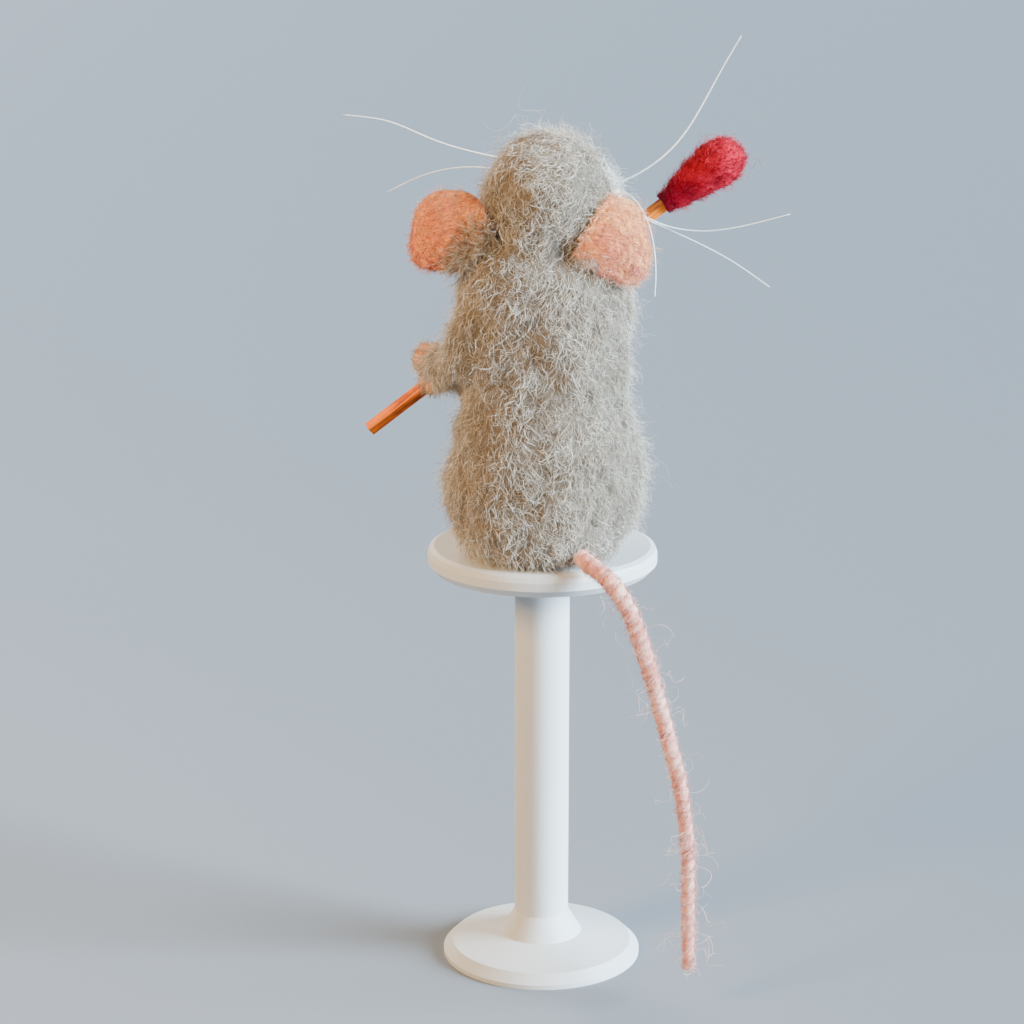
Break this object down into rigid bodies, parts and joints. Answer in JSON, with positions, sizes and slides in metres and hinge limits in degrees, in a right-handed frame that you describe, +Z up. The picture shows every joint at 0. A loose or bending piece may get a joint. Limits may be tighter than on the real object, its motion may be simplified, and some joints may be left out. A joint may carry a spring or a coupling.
{
  "type": "needle-felted mouse figure",
  "caption": "Needle-felted wool mouse sitting upright with a long match across its chest, round peach ears and a wire-cored tail that hangs over the edge it sits on.",
  "frame": {"origin": "middle of the flat seat under the torso", "axes": "+Z up, -Y the way the body faces, -X the mouse's right, where the match head and the tail are"},
  "size_m": [0.0962, 0.0568, 0.1961],
  "materials": {
    "coat_wool": "fluffy needle-felted wool, grey-brown and fawn fibres",
    "white_wool": "needle-felted white wool",
    "peach_wool": "firm needle-felted peach and pink wool",
    "pink_wool": "pink wool wound in a spiral",
    "crimson_wool": "firm needle-felted crimson wool",
    "stained_wood": "square-cut stick with an orange stain",
    "whisker_thread": "stiff white nylon thread",
    "black_bead": "polished black bead",
    "steel_wire": "plain steel wire"
  },
  "bodies": {
    "mouse": {"torso": "coat_wool", "haunch_left": "coat_wool", "haunch_right": "coat_wool", "head": "coat_wool", "arm_left": "coat_wool", "arm_right": "coat_wool", "belly_patch": "white_wool", "muzzle": "white_wool", "cheek_left": "white_wool", "cheek_right": "white_wool", "foot_left": "peach_wool", "foot_right": "peach_wool", "nose": "peach_wool", "paw_left": "peach_wool", "paw_right": "peach_wool", "tail_wire_anchor": "steel_wire", "arm_wire_left": "steel_wire", "arm_wire_right": "steel_wire", "whisker_left_upper": "whisker_thread", "whisker_left_lower": "whisker_thread", "whisker_right_rising": "whisker_thread", "whisker_right_drooping": "whisker_thread", "whisker_right_level": "whisker_thread", "whisker_right_falling": "whisker_thread", "eye_left": "black_bead", "eye_right": "black_bead"},
    "tail_base": {"tail_root": "pink_wool", "tail_wire_root": "steel_wire"},
    "tail_middle": {"tail_upper": "pink_wool", "tail_wire_upper": "steel_wire"},
    "tail_end": {"tail_lower": "pink_wool", "tail_wire_lower": "steel_wire"},
    "match": {"match_stick": "stained_wood", "match_head": "crimson_wool"},
    "left_ear": {"ear_left": "peach_wool"},
    "right_ear": {"ear_right": "peach_wool"}
  },
  "joints": [
    {"name": "tail_swing", "type": "hinge", "parent": "mouse", "child": "tail_base", "pos_m": [-0.00843, 0.01666, 0.00279], "axis": [0, 0, 1], "range_deg": [-25, 25]},
    {"name": "tail_bend_middle", "type": "hinge", "parent": "tail_base", "child": "tail_middle", "pos_m": [-0.01538, 0.02383, -0.00242], "axis": [0, 1, 0], "range_deg": [-20, 25]},
    {"name": "tail_bend_end", "type": "hinge", "parent": "tail_middle", "child": "tail_end", "pos_m": [-0.02767, 0.024, -0.04146], "axis": [0, 1, 0], "range_deg": [-25, 25]},
    {"name": "match_slide", "type": "slide", "parent": "mouse", "child": "match", "axis": [-0.7893, 0, 0.614], "range_m": [-0.003, 0.012]},
    {"name": "left_ear_fold", "type": "hinge", "parent": "mouse", "child": "left_ear", "pos_m": [0.01032, 0.00682, 0.0702], "axis": [0, 0, 1], "range_deg": [0, 20], "stiffness_Nm_per_rad": 0.0008},
    {"name": "right_ear_fold", "type": "hinge", "parent": "mouse", "child": "right_ear", "pos_m": [-0.00404, 0.0116, 0.0692], "axis": [0, 0, -1], "range_deg": [0, 20], "stiffness_Nm_per_rad": 0.0008}
  ]
}
